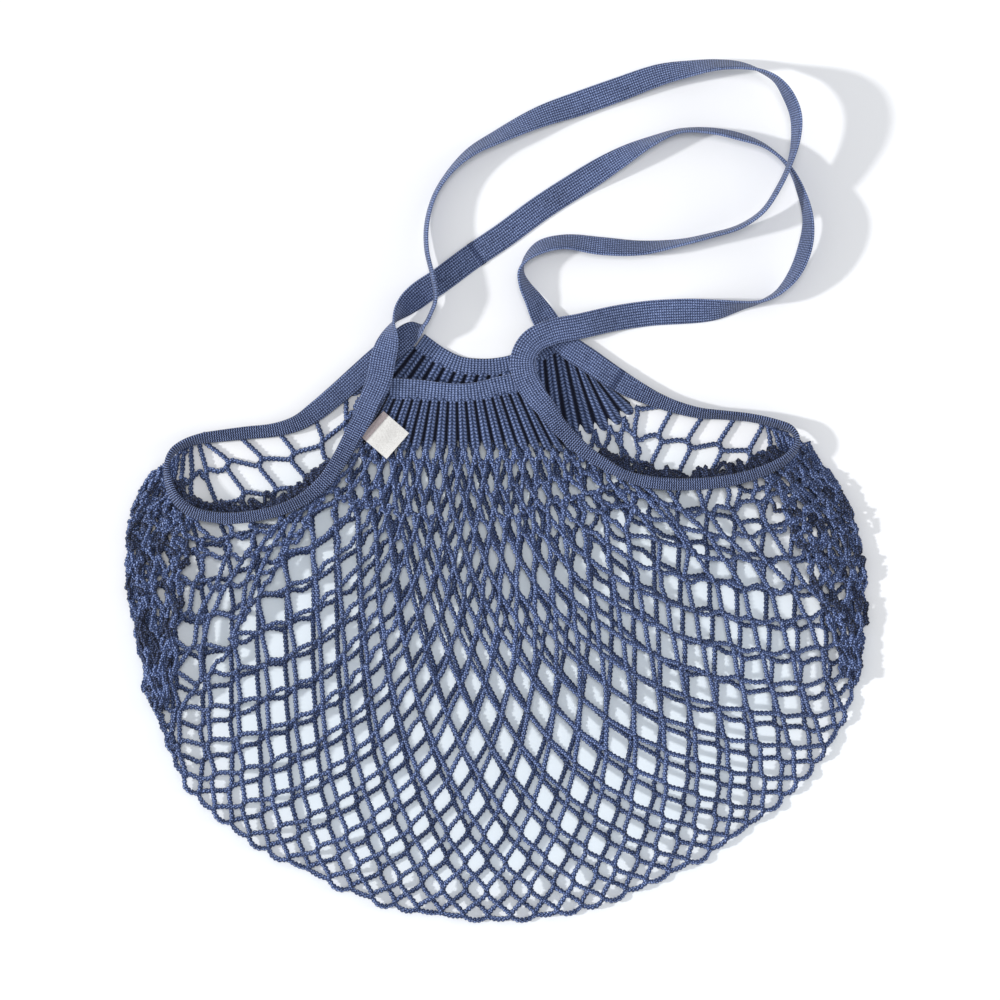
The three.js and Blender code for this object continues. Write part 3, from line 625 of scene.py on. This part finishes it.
class Layer:
    """One layer of the net: its knots in rows that count down from the panel to the fold"""

    def __init__(self, name, panel_edge, odd, columns, fold):
        self.name = name
        self.columns = columns
        self.keys = [
            (i, j)
            for i in range(LAST_ROW + 1)
            for j in range(-(columns + i), columns + i + 1)
            if (i + j) % 2 == odd
        ]
        self.index = {key: k for k, key in enumerate(self.keys)}
        i, j = np.array(self.keys, float).T
        first = np.maximum(0, np.abs(j) - columns)
        panel = by_length(in_panel(panel_edge))
        top = panel(np.clip(j / columns, -1, 1) / 2 + 0.5)
        for side, sign in (("left", -1), ("right", 1)):
            beyond = j * sign > columns
            top[beyond] = armhole_edge(side, name)(first[beyond])
        bottom = fold(fold_share(j / WIDEST))
        down = (i - first) / (ROWS_TO_FOLD - first)
        outwards = down ** np.interp(np.abs(j), [columns - 6, columns + 4], [1.5, 1])
        fallen = down + ROW_SHIFT[name] * np.sin(math.pi * np.clip(down / 0.45, 0, 1))
        self.at = top + (bottom - top) * np.column_stack([outwards, fallen])
        self.down = down
        self.pinned = (i == first) | (i == LAST_ROW)
        self.to_fold = (1 - down) * np.linalg.norm(bottom - top, axis=1)
        self.pairs = self.cords()

    def cords(self):
        """Each knot's number, the number of a knot below it, and the side that this one lies on"""
        return np.array([
            (self.index[key], self.index[below], sign)
            for key in self.keys
            for sign in (-1, 1)
            if (below := (key[0] + 1, key[1] + sign)) in self.index
        ])

    def at_knots(self, upper, lower):
        """Sums what the cords give to the knots at their upper and lower ends, and counts the cords"""
        total = np.zeros((len(self.at), *upper.shape[1:]))
        counts = np.zeros(len(self.at))
        for ends, given in zip(self.pairs[:, :2].T, (upper, lower)):
            np.add.at(total, ends, given)
            np.add.at(counts, ends, 1)
        return total, counts

    def relax(self, rounds=150):
        """Draws knots together where cords are too long, and apart where they are slack but not crumpled"""
        upper = self.pairs[:, 0]
        free = ~self.pinned
        along = np.abs(np.array([self.keys[k][1] for k in upper]))
        easing = np.interp(along, [self.columns - 4, self.columns + 4], [0.3, 0.03])
        easing *= np.interp(self.down[upper], [0.15, 0.5], [0.05, 1])
        for _ in range(rounds):
            apart = self.apart()
            length = np.linalg.norm(apart, axis=1)
            excess = length - 0.97 * MESH_SIDE
            slack = np.interp(length / MESH_SIDE, [0.5, 0.8], [0.05, 1])
            strength = np.where(excess > 0, 0.5, easing * slack)
            pull = unit(apart) * (excess * strength * 0.5)[:, None]
            moves, counts = self.at_knots(pull, -pull)
            self.at[free] += (moves / np.maximum(counts, 1)[:, None] * 2)[free]

    def apart(self):
        return self.at[self.pairs[:, 1]] - self.at[self.pairs[:, 0]]

    def lengths(self):
        return np.linalg.norm(self.apart(), axis=1)

    def crowding(self):
        """How far the cords at each knot fall short of their full length, as a share of it"""
        short = np.clip(1 - self.lengths() / MESH_SIDE, 0, 1)
        total, counts = self.at_knots(short, short)
        return total / counts

    def ruffle(self, amount):
        """Moves the free knots a little, neighbours together, and more where the net is crowded"""
        rows = np.array([key[0] for key in self.keys])
        amount = (amount * np.interp(rows, [2, 9], [0.1, 1]) * (1 + 1.5 * self.crowding()))[:, None]
        waves = randoms.normal(size=(10, 2))
        turns = randoms.uniform(0, 2 * math.pi, size=(10, 2))
        places = self.at * 70
        drift = sum(np.sin((places @ wave)[:, None] + turn) for wave, turn in zip(waves, turns))
        loose = randoms.normal(size=self.at.shape)
        free = ~self.pinned
        self.at[free] += (amount * (0.3 * drift + 0.55 * loose))[free]

    def directions(self):
        """The way down the net at each knot"""
        apart = self.apart()
        return unit(self.at_knots(apart, apart)[0])

    def heights(self):
        if self.name == "back":
            return np.full(len(self.at), CORD_RADIUS + 0.1 * MM)
        rise = np.clip(self.to_fold / FOLD_REACH, 0, 1)
        rise = rise * rise * (3 - 2 * rise)
        return BACK_SEAT + (FRONT_UNDERSIDE - BACK_SEAT) * rise + NET_THICKNESS / 2


class SideGather(Layer):
    """Narrow meshes of the front net that run down beside an end of the fold"""

    def __init__(self, side, fold):
        self.name = side
        self.keys = [
            (i, j)
            for i in range(SIDE_ROWS + 1)
            for j in range(SIDE_COLUMNS + 1)
            if (i + j) % 2 == 0
        ]
        self.index = {key: k for k, key in enumerate(self.keys)}
        i, j = np.array(self.keys, float).T
        places, widths = zip(*SIDE_WIDTHS)
        reached = i / SIDE_ROWS * places[-1]
        width = np.interp(reached, places, widths)
        drift = np.sin(i * 0.6 + 2.4 * j + 0.5 * np.sin(3 * j)) * 0.65 * width / SIDE_COLUMNS
        self.lift = SIDE_LIFT * (1 + 0.7 * np.sin(2.1 * j + 0.5 * i))
        self.to_fold = CORD_RADIUS + width * j / SIDE_COLUMNS + drift
        share = reached if side == "left" else 1 - reached
        inwards = unit(left_of(fold(share + 0.004) - fold(share - 0.004)))
        self.at = fold(share) + inwards * self.to_fold[:, None]
        top = by_length(in_bag(SIDE_TOPS[side]))
        self.at[i == 0] = top(j[i == 0] / SIDE_COLUMNS)
        self.at += randoms.normal(scale=SIDE_SCATTER, size=self.at.shape)
        self.pairs = self.cords()


def cord_controls(layer, heights):
    """Seven points that each cord passes: before, at and after its upper knot, midway, and three below"""
    down = layer.directions()
    a, b, sign = layer.pairs.T
    straight = np.abs(np.sum(unit(layer.apart()) * down[a], axis=1))
    reach = KNOT_REACH * np.interp(straight, [0.9, 1], [1, 2.5])
    reach = np.minimum(reach, 0.39 * layer.lengths())[:, None]
    shift = (sign * CORD_RADIUS * 0.7)[:, None]
    over = np.where(np.array([layer.keys[k][0] for k in a]) % 2 == 0, 1, -1) * sign

    def beside(k, way):
        return layer.at[k] + way * (reach * down[k] + shift * left_of(down[k]))

    flat = [beside(a, -1), layer.at[a], beside(a, 1), None, beside(b, -1), layer.at[b], beside(b, 1)]
    flat[3] = (flat[2] + flat[4]) / 2
    high = np.stack([heights[a]] * 3 + [(heights[a] + heights[b]) / 2] + [heights[b]] * 3, axis=1)
    high[:, 1] += over * CORD_RADIUS * 0.55
    high[:, 5] -= over * CORD_RADIUS * 0.55
    return flat, high


def slack_bow(flat, high, lift, limit):
    """Bends each slack cord sideways and upwards midway, by what its spare length allows"""
    span = flat[4] - flat[2]
    length = np.linalg.norm(span, axis=1)
    taken = np.linalg.norm(flat[2] - flat[1], axis=1) + np.linalg.norm(flat[5] - flat[4], axis=1)
    whole = np.minimum(CORD_IN_MESH - taken, CORD_THAT_BOWS)
    bow = BOW_SHARE * np.sqrt(np.maximum(whole**2 - length**2, 0)) * limit
    way = randoms.uniform(-math.pi, math.pi, size=len(span))
    flat[3] = flat[3] + unit(left_of(span)) * (bow * np.sin(way))[:, None]
    high[:, 3] += lift * bow * np.abs(np.cos(way))


def fold_controls(front, back, fold):
    """Cords that pass round the fold, from the front layer's last knots to the back layer's"""
    pairs = [
        (front.index[i, j], back.index[i, j + sign], j + sign / 2)
        for i, j in front.keys
        if i == LAST_ROW
        for sign in (-1, 1)
        if (i, j + sign) in back.index
    ]
    a, b, crossing = map(np.array, zip(*pairs))
    edge = fold(fold_share(crossing / WIDEST))
    inwards = unit((front.at[a] + back.at[b]) / 2 - edge)
    edge = edge + inwards * (CORD_RADIUS + randoms.uniform(0, 2.8, size=(len(edge), 1)) * MM)
    points = []
    for layer, k in ((front, a), (back, b)):
        down = layer.directions()[k]
        apart = edge - layer.at[k]
        fall = np.sum(apart * down, axis=1, keepdims=True) * down
        leave = 0.78 * fall + 0.5 * (apart - fall)
        points.append([layer.at[k] - 0.4 * leave, layer.at[k], layer.at[k] + leave])
    flat = [*points[0], edge, *points[1][::-1]]
    levels = [front.heights()[a]] * 3 + [np.full(len(a), FOLD_LEVEL)] + [back.heights()[b]] * 3
    return flat, np.stack(levels, axis=1)


def bunch_controls(side, pitch, drop):
    """Loops of the net's selvedge that stand in from an armhole's front binding, and cross each other"""
    path = armhole_edge(side, "front")(np.linspace(0, ROWS_TO_FOLD, 400))
    reached = run_length(path)
    count = int(reached[-1] / pitch)
    stops = np.linspace(0.1, 0.92, count + 1) * reached[-1]
    stops += randoms.normal(scale=0.25 * pitch, size=count + 1)
    places = np.stack([np.interp(stops, reached, path[:, k]) for k in range(2)], axis=-1)
    span = places[1:] - places[:-1]
    inwards = unit(left_of(span))
    inwards *= np.sign(inwards[:, 1:] + 1e-9)
    middle = (places[1:] + places[:-1]) / 2
    reach = randoms.uniform(2.5, 8, size=(count, 1)) * MM
    sway = randoms.normal(scale=SELVEDGE_SWAY, size=(count, 2))
    start, end = places[:-1], places[1:]
    flat = [
        start - SELVEDGE_BEHIND * inwards,
        start,
        start + 0.5 * reach * inwards,
        middle + reach * inwards + sway,
        end + 0.5 * reach * inwards,
        end,
        end - SELVEDGE_BEHIND * inwards,
    ]
    high = np.full((count, 7), FRONT_UNDERSIDE - drop)
    high[:, 3] -= randoms.uniform(0, 2.5, size=count) * MM
    return flat, high


def plied_cords(flat, high, phases):
    """Points and faces of two-ply cords through their control points, all with the same number of faces"""
    control = np.stack([np.column_stack([flat[k], high[:, k]]) for k in range(7)], axis=1)
    cuts = np.concatenate([[1, 1.5], np.linspace(2, 4, 11), [4.5, 5]])
    start = np.minimum(np.floor(cuts).astype(int), 4)
    t = (cuts - start)[None, :, None]
    p0, p1, p2, p3 = (control[:, start + k] for k in (-1, 0, 1, 2))
    line = curve_between(p1, p2, (p2 - p0) / 2, (p3 - p1) / 2, t)
    ahead = unit(np.gradient(line, axis=1))
    side = unit(np.cross(ahead, [0, 0, 1.0]))
    up = np.cross(side, ahead)
    reached = run_length(line)
    around = np.arange(CORD_SIDES) * 2 * math.pi / CORD_SIDES
    rings = []
    for ply in (0, math.pi):
        turn = 2 * math.pi * reached / PLY_TURN + phases[:, None] + ply
        middle = line + PLY_OFFSET * (np.cos(turn)[..., None] * side + np.sin(turn)[..., None] * up)
        spoke = np.cos(around)[:, None] * side[:, :, None] + np.sin(around)[:, None] * up[:, :, None]
        rings.append(middle[:, :, None] + PLY_RADIUS * spoke)
    points = np.stack(rings, axis=1)
    cords, plies, cuts_count, sides = points.shape[:4]
    one = ring_faces(cuts_count, sides)
    offsets = np.arange(cords * plies) * cuts_count * sides
    faces = (one[None] + offsets[:, None, None]).reshape(-1, 4)
    k = np.arange(sides)
    round_share = np.stack([k, k + 1, k + 1, k], axis=1) / sides * 2 * math.pi * PLY_RADIUS
    round_share = np.tile(round_share, (cords * plies * (cuts_count - 1), 1))
    along = np.repeat(np.repeat(reached, plies, axis=0).reshape(-1), sides)
    return points.reshape(-1, 3), faces, np.stack([round_share, along[faces]], axis=-1)


def add_net(name, controls, chosen, material, replaced):
    flat, high = controls
    flat = [points[chosen] for points in flat]
    high = np.maximum(high[chosen], CORD_RADIUS)
    phases = randoms.uniform(0, 2 * math.pi, size=len(high))
    points, faces, places = plied_cords(flat, high, phases)
    points[:, 2] = np.maximum(points[:, 2], FLOOR_CLEARANCE)
    add_piece(name, points, faces.tolist(), places, material, replaced)


# Finishes


def feed(tree, node, inputs):
    """Gives a node's inputs their values, or links them to other nodes' outputs"""
    for key, value in inputs.items():
        if isinstance(value, bpy.types.NodeSocket):
            tree.links.new(value, node.inputs[key])
        else:
            node.inputs[key].default_value = value


def shader_node(tree, kind, inputs=None, **settings):
    """A shader node of the given kind, with its inputs fed and its settings made"""
    made = tree.nodes.new("ShaderNode" + kind)
    for key, value in settings.items():
        setattr(made, key, value)
    feed(tree, made, inputs or {})
    return made


def reckon(tree, operation, *values):
    """One step of arithmetic on sockets and numbers"""
    return shader_node(tree, "Math", dict(enumerate(values)), operation=operation).outputs[0]


def new_group(name, inputs, outputs):
    """A node group with number inputs, a vector where no value is given, and number outputs"""
    tree = bpy.data.node_groups.new(name, "ShaderNodeTree")
    for label, value in inputs.items():
        kind = "NodeSocketVector" if value is None else "NodeSocketFloat"
        socket = tree.interface.new_socket(name=label, in_out="INPUT", socket_type=kind)
        if value is not None:
            socket.default_value = value
    for label in outputs:
        tree.interface.new_socket(name=label, in_out="OUTPUT", socket_type="NodeSocketFloat")
    return tree, tree.nodes.new("NodeGroupInput").outputs, tree.nodes.new("NodeGroupOutput").inputs


def stitch_group():
    """Height of a knitted stitch, from a place on the knitting in metres"""
    inputs = {"Place": None, "Wale": TAPE_WALE, "Row": TAPE_ROW, "Slant": 0.8, "Row share": 0.28}
    tree, given, gives = new_group("knitted_stitch", inputs, ["Height"])
    place = shader_node(tree, "SeparateXYZ", {0: given["Place"]}).outputs
    columns = reckon(tree, "DIVIDE", place[0], given["Wale"])
    from_middle = reckon(tree, "ABSOLUTE", reckon(tree, "SUBTRACT", reckon(tree, "FRACT", columns), 0.5))
    arch = reckon(tree, "COSINE", reckon(tree, "MULTIPLY", from_middle, math.pi))
    crown = reckon(tree, "POWER", arch, 0.6)
    rows = reckon(tree, "DIVIDE", place[1], given["Row"])
    slanted = reckon(tree, "MULTIPLY_ADD", from_middle, given["Slant"], rows)
    wave = reckon(tree, "COSINE", reckon(tree, "MULTIPLY", slanted, 2 * math.pi))
    rest = reckon(tree, "SUBTRACT", 1.0, given["Row share"])
    stitch = reckon(tree, "MULTIPLY_ADD", wave, given["Row share"], rest)
    faint = reckon(tree, "MULTIPLY", given["Row share"], 1.4)
    column = reckon(tree, "MAXIMUM", crown, faint)
    tree.links.new(reckon(tree, "MULTIPLY", column, stitch), gives["Height"])
    return tree


def fibre_group():
    """Tone of cotton yarn: broad patches where the dye took unevenly, and fine fibres"""
    tree, given, gives = new_group("cotton_fibre", {"Patch": 40, "Fibre": 1300}, ["Tone", "Fibre"])
    place = shader_node(tree, "TexCoord").outputs["Object"]
    for scale, detail, output in (("Patch", 3.0, "Tone"), ("Fibre", 2.0, "Fibre")):
        noise = {"Vector": place, "Scale": given[scale], "Detail": detail}
        made = shader_node(tree, "TexNoise", noise)
        tree.links.new(made.outputs[0], gives[output])
    return tree


def new_material(name, inputs):
    """A material, its node tree, and its surface with the given plain values"""
    material = bpy.data.materials.new(name)
    material.use_nodes = True
    tree = material.node_tree
    surface = tree.nodes["Principled BSDF"]
    feed(tree, surface, inputs)
    return material, tree, surface


def from_screen(colour):
    """A shader's colour, from 0 to 255 as a screen shows it"""
    return (*(c / 255 / 12.92 if c <= 10 else ((c / 255 + 0.055) / 1.055) ** 2.4 for c in colour), 1)


def yarn_material(name, groups, deep, middle, light, wale, row, slant, relief):
    """Dyed cotton yarn, with painted shade between the stitches and a painted highlight on their crowns,
    uneven in tone
    """
    material, tree, surface = new_material(
        name, {"Roughness": 0.85, "Specular IOR Level": 0.25, "Sheen Weight": 0.15, "Sheen Roughness": 0.5}
    )
    place = shader_node(tree, "UVMap", uv_map="Yarn").outputs[0]
    stitches = {"Place": place, "Wale": wale, "Row": row, "Slant": slant}
    if name in FLATTENED_YARNS:
        share = shader_node(tree, "Attribute", attribute_name="row_share")
        stitches["Row share"] = share.outputs["Fac"]
    height = shader_node(tree, "Group", stitches, node_tree=groups["stitch"]).outputs["Height"]
    # Painted shade in the valleys between the ribs: the stitch height is cut there, which darkens the
    # colour and deepens the bump
    if name in RIB_PITCH:
        ribs = {"Place": place, "Wale": RIB_PITCH[name], "Row": 1.0, "Slant": 0.0}
        valley = shader_node(tree, "Group", ribs, node_tree=groups["stitch"])
        crest = shader_node(tree, "MapRange", {"Value": valley.outputs["Height"], 1: 0.45, 2: 0.8})
        height = reckon(tree, "MULTIPLY", height, crest.outputs[0])
    yarn = shader_node(tree, "Group", node_tree=groups["fibre"])
    uneven = reckon(tree, "MULTIPLY_ADD", yarn.outputs["Fibre"], 0.9, -0.45)
    shade = reckon(tree, "ADD", height, uneven)
    # The stitch height picks the colour: painted shade where it is low, between the stitches, and a painted
    # highlight where it is high, on their crowns
    ramp = shader_node(tree, "ValToRGB", {"Fac": shade})
    stops = ramp.color_ramp.elements
    stops.new(0.6)
    for stop, position, colour in zip(stops, (0.12, 0.6, 1.0), (deep, middle, light)):
        stop.position, stop.color = position, from_screen(colour)
    tones = {"Value": yarn.outputs["Tone"], 1: 0.3, 2: 0.7, 3: 0.84, 4: 1.12}
    tone = shader_node(tree, "MapRange", tones).outputs[0]
    dyed = shader_node(tree, "HueSaturation", {"Color": ramp.outputs[0], "Value": tone})
    raised = reckon(tree, "MULTIPLY_ADD", yarn.outputs["Fibre"], 0.5, height)
    bump = shader_node(tree, "Bump", {"Height": raised, "Strength": 0.8, "Distance": relief})
    feed(tree, surface, {"Base Color": dyed.outputs[0], "Normal": bump.outputs[0]})
    return material


def floor_material():
    """White, with painted bounce light under the net: a faint blue that stands in for the light the yarn
    throws on the floor
    """
    material, tree, surface = new_material("white_floor", {"Roughness": 0.9, "Specular IOR Level": 0.0})
    place = shader_node(tree, "TexCoord").outputs["Object"]
    middle = in_bag([(0, -0.5)])[0] + SHIFT[:2]
    moved = shader_node(tree, "VectorMath", {0: place, 1: (*middle, 0)}, operation="SUBTRACT")
    size = (BAG_WIDTH / 2, BAG_DEPTH / 2, 1)
    scaled = shader_node(tree, "VectorMath", {0: moved.outputs[0], 1: size}, operation="DIVIDE")
    away = shader_node(tree, "VectorMath", {0: scaled.outputs[0]}, operation="LENGTH")
    near = shader_node(tree, "MapRange", {"Value": away.outputs["Value"], 1: 1.05, 2: 0.75})
    tint = {"Factor": near.outputs[0], 6: FLOOR_WHITE, 7: FLOOR_PAINTED_BOUNCE}
    mixed = shader_node(tree, "Mix", tint, data_type="RGBA")
    tree.links.new(mixed.outputs[2], surface.inputs["Base Color"])
    return material


# The label


def cloth_square(sizes, centre, base, wave, cells=26):
    """Points, faces and places of a thin turned rectangle of cloth, closed all round"""
    even = np.linspace(-0.5, 0.5, cells + 1)
    u, v = np.meshgrid(even, even)
    curl = LABEL_CURL * ((2 * u) ** 4 + (2 * v) ** 4) / 2
    low = base + curl + wave * np.maximum(np.sin(u * 9 + 1) * np.cos(v * 7), 0)
    cos, sin = math.cos(LABEL_TURN), math.sin(LABEL_TURN)
    own = np.stack([u, v], axis=-1).reshape(-1, 2) * sizes
    flat = (own + centre) @ np.array([[cos, sin], [-sin, cos]]) + in_bag([LABEL_CENTRE])[0]
    points = np.concatenate([
        np.column_stack([flat, (low + LABEL_THICKNESS).ravel()]),
        np.column_stack([flat, low.ravel()]),
    ])
    faces = sheet_faces(cells + 1, cells + 1)[:, [0, 3, 2, 1]]
    return points, faces, np.tile(own, (2, 1))[faces]


def add_label(cloth, crease):
    """A bare turned square of woven cloth on the front panel, with its upper left edge folded over"""
    base = FRONT_SEAT + LABEL_LIFT
    square = cloth_square((LABEL_SIDE, LABEL_SIDE), (0, 0), base, LABEL_WAVE)
    across = (0, (LABEL_SIDE - LABEL_FOLD) / 2)
    strip = cloth_square((LABEL_SIDE, LABEL_FOLD), across, base + 0.6 * LABEL_THICKNESS, 0.1 * MM, 12)
    parts = (("label_cloth", square, cloth), ("label_fold", strip, crease))
    for name, (points, faces, places), material in parts:
        made = add_piece(name, points, faces.tolist(), places, material, "label")
        made.data.set_sharp_from_angle(angle=math.radians(40))


# Stage


def add_sun(name, azimuth, elevation, strength, softness):
    """A far soft light that comes from the given direction"""
    light = bpy.data.lights.new(name, "SUN")
    light.energy = strength
    light.angle = math.radians(softness)
    lamp = new_object(name, light)
    a, e = math.radians(azimuth), math.radians(elevation)
    back = Vector((math.cos(a) * math.cos(e), math.sin(a) * math.cos(e), math.sin(e)))
    lamp.rotation_mode = "QUATERNION"
    lamp.rotation_quaternion = back.to_track_quat("Z", "Y")
    lamp.location = back


def add_stage():
    mesh = bpy.data.meshes.new("floor")
    corners = [(x * FLOOR_REACH, y * FLOOR_REACH, 0) for x, y in ((-1, -1), (1, -1), (1, 1), (-1, 1))]
    mesh.from_pydata(corners, [], [(0, 1, 2, 3)])
    mesh.materials.append(floor_material())
    new_object("floor", mesh)
    world = bpy.data.worlds.new("studio")
    world.use_nodes = True
    sky = world.node_tree.nodes["Background"]
    sky.inputs["Color"].default_value = (0.93, 0.96, 1, 1)
    sky.inputs["Strength"].default_value = 0.55
    bpy.context.scene.world = world
    for name, light in LIGHTS.items():
        add_sun(name, *light)
    bpy.context.scene.view_settings.view_transform = "Standard"
    data = bpy.data.cameras.new("overhead")
    data.lens = LENS
    data.sensor_width = SENSOR
    data.clip_end = 100
    camera = new_object("overhead", data)
    camera.location = (*VIEW_CENTRE, VIEW_FIELD * LENS / SENSOR + FRONT_SEAT / 2)
    bpy.context.scene.camera = camera


def build():
    add_stage()
    groups = {"stitch": stitch_group(), "fibre": fibre_group()}
    yarn = {name: yarn_material(name, groups, *look) for name, look in YARNS.items()}

    first = 0
    for name, rows in TAPE_LENGTHS:
        add_tape(name, rows, first, yarn["knitted_tape"])
        for joined, station in SEAMS:
            if joined == name:
                add_seam(name, rows, first, station, yarn["seam_thread"])
        first += len(rows) - 1
    add_band("front_band", FRONT_BAND, FRONT_UNDERSIDE, yarn["ribbed_band"])
    add_band("back_band", BACK_BAND, 0.0, yarn["ribbed_band"])
    front_edges = panel_edges(FRONT_BAND, FRONT_PANEL_CORNERS, FRONT_PANEL_EDGE)
    back_edges = panel_edges(BACK_BAND, BACK_PANEL_CORNERS, BACK_PANEL_EDGE)
    add_gather("front_gather", front_edges, PANEL_COLUMNS + 1, FRONT_UNDERSIDE, yarn["ribbed_panel"])
    add_gather("back_gather", back_edges, PANEL_COLUMNS + 2, 0.0, yarn["ribbed_panel"])

    fold = by_length(in_bag(FOLD_OUTLINE))
    front = Layer("front", FRONT_PANEL_EDGE, 0, PANEL_COLUMNS, fold)
    back = Layer("back", BACK_PANEL_EDGE, 1, PANEL_COLUMNS + 1, fold)
    for layer in (front, back):
        layer.relax()
        layer.ruffle(RUFFLE)
        layer.relax(8)
    # The second cord yarn is the darker one, painted shade for cords that lie in shade
    plain_cord, painted_shade_cord = yarn["net_cord"], yarn["net_cord_painted_shade"]
    for layer in (front, back):
        controls = cord_controls(layer, layer.heights())
        slack_bow(*controls, 0.5, 0.75)
        midway = controls[0][3][:, 0]
        on_left = midway < np.median(midway)
        shown = layer.lengths() > SHORTEST_CORD
        for half, chosen in (("left", on_left & shown), ("right", ~on_left & shown)):
            add_net(f"net_{layer.name}_{half}", controls, chosen, plain_cord, f"net_{layer.name}")
    every = slice(None)
    add_net("net_fold", fold_controls(front, back, fold), every, plain_cord, "net_front")
    for side in ("left", "right"):
        gathered = SideGather(side, fold)
        controls = cord_controls(gathered, gathered.heights() + gathered.lift)
        slack_bow(*controls, 0.4, 0.4)
        # Strands whose knots sit lower take the darker cord yarn: painted shade between the raised strands
        above = gathered.lift[gathered.pairs[:, 0]] > 0.9 * SIDE_LIFT
        add_net(f"net_side_{side}_upper", controls, above, plain_cord, "net_front")
        add_net(f"net_side_{side}_lower", controls, ~above, painted_shade_cord, "net_front")
        # The selvedge's loops take the darker cord yarn too: painted shade where the binding shades them
        for turn, pitch in enumerate(SELVEDGE_PITCHES):
            controls = bunch_controls(side, pitch, turn * SELVEDGE_DROP)
            add_net(f"net_selvedge_{side}_{turn + 1}", controls, every, painted_shade_cord, "net_front")
    add_label(yarn["label_cloth"], yarn["label_fold"])


build()
